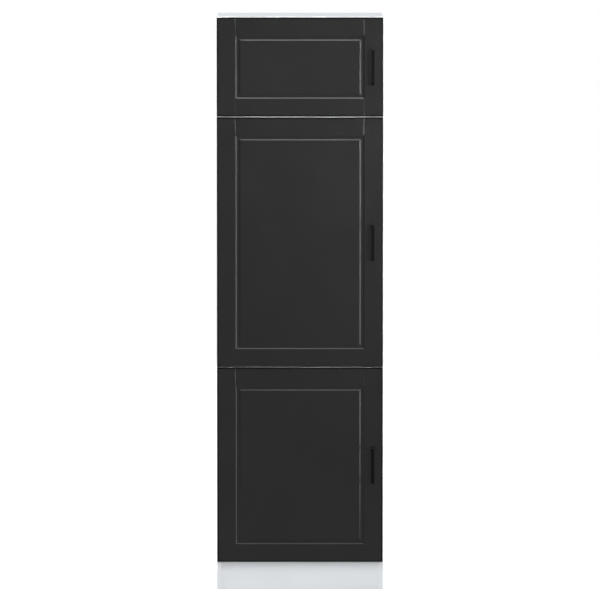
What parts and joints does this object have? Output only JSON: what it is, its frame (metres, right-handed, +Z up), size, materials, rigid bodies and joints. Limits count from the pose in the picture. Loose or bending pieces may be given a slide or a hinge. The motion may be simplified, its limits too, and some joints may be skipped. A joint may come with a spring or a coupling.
{
  "type": "pantry cabinet",
  "caption": "Tall pantry cabinet: white board carcass on a plinth, black panelled doors one above another on concealed hinges, slim bar handles, shelves inside.",
  "frame": {"origin": "on the floor, at the middle of the bounding box's base", "axes": "+X right, +Y back, +Z up; the doors face -Y"},
  "size_m": [0.6, 0.6, 2.07],
  "materials": {
    "white_board": "satin white melamine on chipboard",
    "hardboard_back": "hardboard, white inside",
    "black_door": "satin black foil on fibreboard",
    "black_handle": "satin black powder coat",
    "hinge_steel": "nickel-plated pressed steel"
  },
  "bodies": {
    "carcass": {"left_side_panel": "white_board", "right_side_panel": "white_board", "top_panel": "white_board", "bottom_panel": "white_board", "lower_fixed_shelf": "white_board", "upper_fixed_shelf": "white_board", "lower_bay_shelf": "white_board", "middle_bay_lower_shelf": "white_board", "middle_bay_upper_shelf": "white_board", "plinth_board": "white_board", "rear_plinth_rail": "white_board", "lower_back_panel": "hardboard_back", "middle_back_panel": "hardboard_back", "upper_back_panel": "hardboard_back", "left_wall_bracket": "hinge_steel", "right_wall_bracket": "hinge_steel", "lower_door_lower_hinge_arm": "hinge_steel", "lower_door_lower_hinge_mounting_plate": "hinge_steel", "lower_door_upper_hinge_arm": "hinge_steel", "lower_door_upper_hinge_mounting_plate": "hinge_steel", "middle_door_lower_hinge_arm": "hinge_steel", "middle_door_lower_hinge_mounting_plate": "hinge_steel", "middle_door_upper_hinge_arm": "hinge_steel", "middle_door_upper_hinge_mounting_plate": "hinge_steel", "upper_door_lower_hinge_arm": "hinge_steel", "upper_door_lower_hinge_mounting_plate": "hinge_steel", "upper_door_upper_hinge_arm": "hinge_steel", "upper_door_upper_hinge_mounting_plate": "hinge_steel"},
    "lower_door": {"lower_door": "black_door", "lower_door_handle": "black_handle", "lower_door_handle_lower_screw": "hinge_steel", "lower_door_handle_upper_screw": "hinge_steel", "lower_door_lower_hinge_cup": "hinge_steel", "lower_door_upper_hinge_cup": "hinge_steel"},
    "lower_door_outer_links": {"lower_door_lower_hinge_outer_link": "hinge_steel", "lower_door_upper_hinge_outer_link": "hinge_steel"},
    "lower_door_inner_links": {"lower_door_lower_hinge_inner_link": "hinge_steel", "lower_door_upper_hinge_inner_link": "hinge_steel"},
    "middle_door": {"middle_door": "black_door", "middle_door_handle": "black_handle", "middle_door_handle_lower_screw": "hinge_steel", "middle_door_handle_upper_screw": "hinge_steel", "middle_door_lower_hinge_cup": "hinge_steel", "middle_door_upper_hinge_cup": "hinge_steel"},
    "middle_door_outer_links": {"middle_door_lower_hinge_outer_link": "hinge_steel", "middle_door_upper_hinge_outer_link": "hinge_steel"},
    "middle_door_inner_links": {"middle_door_lower_hinge_inner_link": "hinge_steel", "middle_door_upper_hinge_inner_link": "hinge_steel"},
    "upper_door": {"upper_door": "black_door", "upper_door_handle": "black_handle", "upper_door_handle_lower_screw": "hinge_steel", "upper_door_handle_upper_screw": "hinge_steel", "upper_door_lower_hinge_cup": "hinge_steel", "upper_door_upper_hinge_cup": "hinge_steel"},
    "upper_door_outer_links": {"upper_door_lower_hinge_outer_link": "hinge_steel", "upper_door_upper_hinge_outer_link": "hinge_steel"},
    "upper_door_inner_links": {"upper_door_lower_hinge_inner_link": "hinge_steel", "upper_door_upper_hinge_inner_link": "hinge_steel"}
  },
  "joints": [
    {"name": "lower_door_outer_link_turn", "type": "hinge", "parent": "carcass", "child": "lower_door_outer_links", "pos_m": [-0.25383, -0.23004, 0.455], "axis": [0, 0, 1], "range_deg": [0, 25.49]},
    {"name": "lower_door_swing", "type": "hinge", "parent": "lower_door_outer_links", "child": "lower_door", "pos_m": [-0.28784, -0.25402, 0.455], "axis": [0, 0, -1], "range_deg": [0, 125.49]},
    {"name": "lower_door_inner_link_turn", "type": "hinge", "parent": "carcass", "child": "lower_door_inner_links", "pos_m": [-0.26608, -0.25659, 0.455], "axis": [0, 0, 1], "range_deg": [0, 41.35]},
    {"name": "middle_door_outer_link_turn", "type": "hinge", "parent": "carcass", "child": "middle_door_outer_links", "pos_m": [-0.25383, -0.23004, 1.2595], "axis": [0, 0, 1], "range_deg": [0, 25.49]},
    {"name": "middle_door_swing", "type": "hinge", "parent": "middle_door_outer_links", "child": "middle_door", "pos_m": [-0.28784, -0.25402, 1.2595], "axis": [0, 0, -1], "range_deg": [0, 125.49]},
    {"name": "middle_door_inner_link_turn", "type": "hinge", "parent": "carcass", "child": "middle_door_inner_links", "pos_m": [-0.26608, -0.25659, 1.2595], "axis": [0, 0, 1], "range_deg": [0, 41.35]},
    {"name": "upper_door_outer_link_turn", "type": "hinge", "parent": "carcass", "child": "upper_door_outer_links", "pos_m": [-0.25383, -0.23004, 1.8895], "axis": [0, 0, 1], "range_deg": [0, 25.49]},
    {"name": "upper_door_swing", "type": "hinge", "parent": "upper_door_outer_links", "child": "upper_door", "pos_m": [-0.28784, -0.25402, 1.8895], "axis": [0, 0, -1], "range_deg": [0, 125.49]},
    {"name": "upper_door_inner_link_turn", "type": "hinge", "parent": "carcass", "child": "upper_door_inner_links", "pos_m": [-0.26608, -0.25659, 1.8895], "axis": [0, 0, 1], "range_deg": [0, 41.35]}
  ],
  "couplings": [
    {"joint": "lower_door_outer_link_turn", "follows": "lower_door_swing", "ratio": 0.20311},
    {"joint": "lower_door_inner_link_turn", "follows": "lower_door_swing", "ratio": 0.32951},
    {"joint": "middle_door_outer_link_turn", "follows": "middle_door_swing", "ratio": 0.20311},
    {"joint": "middle_door_inner_link_turn", "follows": "middle_door_swing", "ratio": 0.32951},
    {"joint": "upper_door_outer_link_turn", "follows": "upper_door_swing", "ratio": 0.20311},
    {"joint": "upper_door_inner_link_turn", "follows": "upper_door_swing", "ratio": 0.32951}
  ]
}
